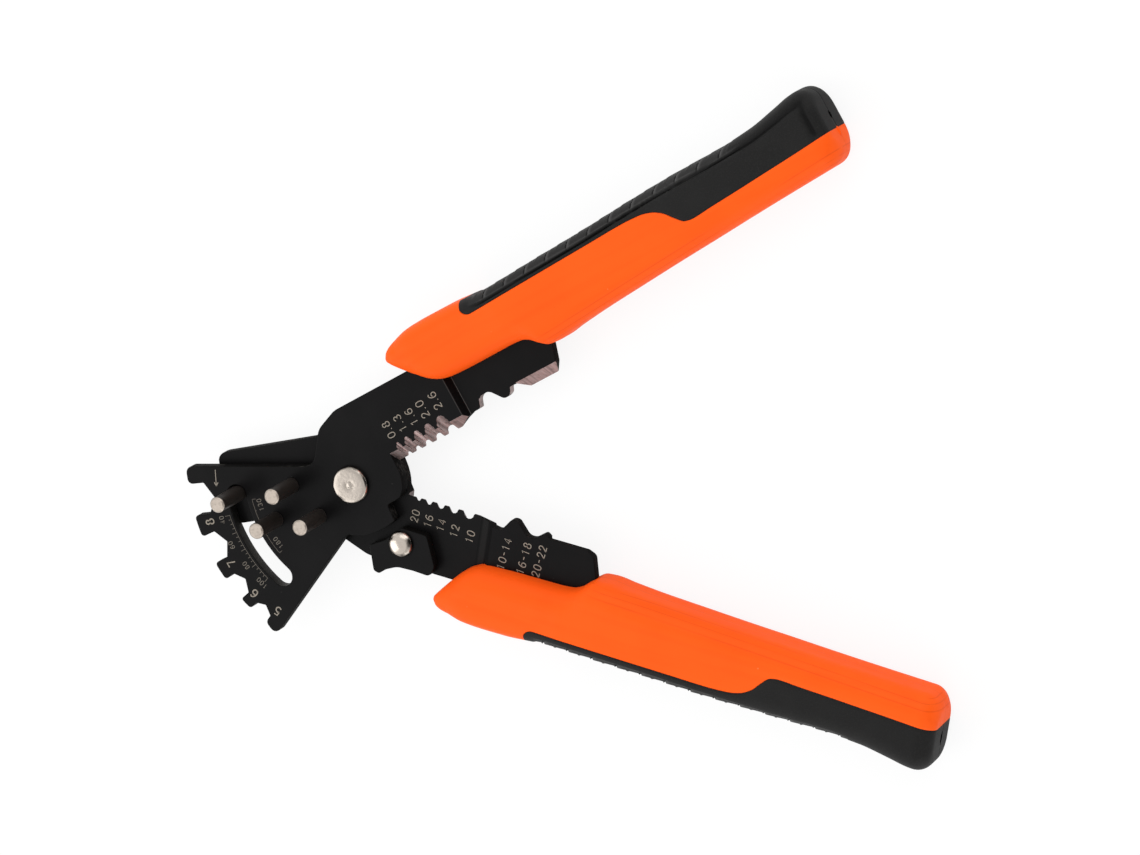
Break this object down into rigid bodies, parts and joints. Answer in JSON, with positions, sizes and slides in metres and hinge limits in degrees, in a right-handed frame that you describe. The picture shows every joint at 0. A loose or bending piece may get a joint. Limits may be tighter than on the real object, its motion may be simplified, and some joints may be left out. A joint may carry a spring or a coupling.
{
  "type": "wire stripping pliers",
  "caption": "Hand pliers with stripping notches, crimping forms, a cutter, a toothed bending fan with pins, a latch and soft-faced grips.",
  "frame": {"origin": "on the pivot axis, at the flat back face of the pivot rivet", "axes": "+X along the bisector of the open handles, away from the fan; +Z along the pivot axis towards the lettered front; +Y towards the lever that carries the fan's handle"},
  "size_m": [0.188, 0.1636, 0.0222],
  "materials": {
    "front_lever": "semi-gloss black coating",
    "back_lever": "semi-gloss black coating",
    "pivot_rivet": "polished nickel",
    "pivot_bush": "turned steel",
    "pivot_washer": "plain steel",
    "torsion_spring": "spring wire",
    "latch": "semi-gloss black coating",
    "latch_rivet": "polished nickel",
    "latch_washer": "plain steel",
    "slot_pin": "dark sides with a bare end",
    "upper_pin": "dark sides with a bare end",
    "middle_pin": "dark sides with a bare end",
    "lower_pin": "dark sides with a bare end",
    "upper_grip": "satin orange",
    "lower_grip": "satin orange",
    "upper_inlay": "fine matte grain",
    "lower_inlay": "fine matte grain"
  },
  "bodies": {
    "lower_lever": {"back_lever": "back_lever", "pivot_rivet": "pivot_rivet", "pivot_bush": "pivot_bush", "pivot_washer": "pivot_washer", "torsion_spring": "torsion_spring", "latch_rivet": "latch_rivet", "latch_washer": "latch_washer", "slot_pin": "slot_pin", "lower_grip": "lower_grip", "lower_inlay": "lower_inlay"},
    "upper_lever": {"front_lever": "front_lever", "upper_pin": "upper_pin", "middle_pin": "middle_pin", "lower_pin": "lower_pin", "upper_grip": "upper_grip", "upper_inlay": "upper_inlay"},
    "latch": {"latch": "latch"}
  },
  "joints": [
    {"name": "pivot", "type": "hinge", "parent": "lower_lever", "child": "upper_lever", "pos_m": [0, 0, 0], "axis": [0, 0, -1], "range_deg": [0, 40.9], "stiffness_Nm_per_rad": 0.4, "springref_deg": -28.65},
    {"name": "latch_pivot", "type": "hinge", "parent": "lower_lever", "child": "latch", "pos_m": [0.0102, -0.016, 0.00491], "axis": [0, 0, -1], "range_deg": [0, 16]}
  ]
}
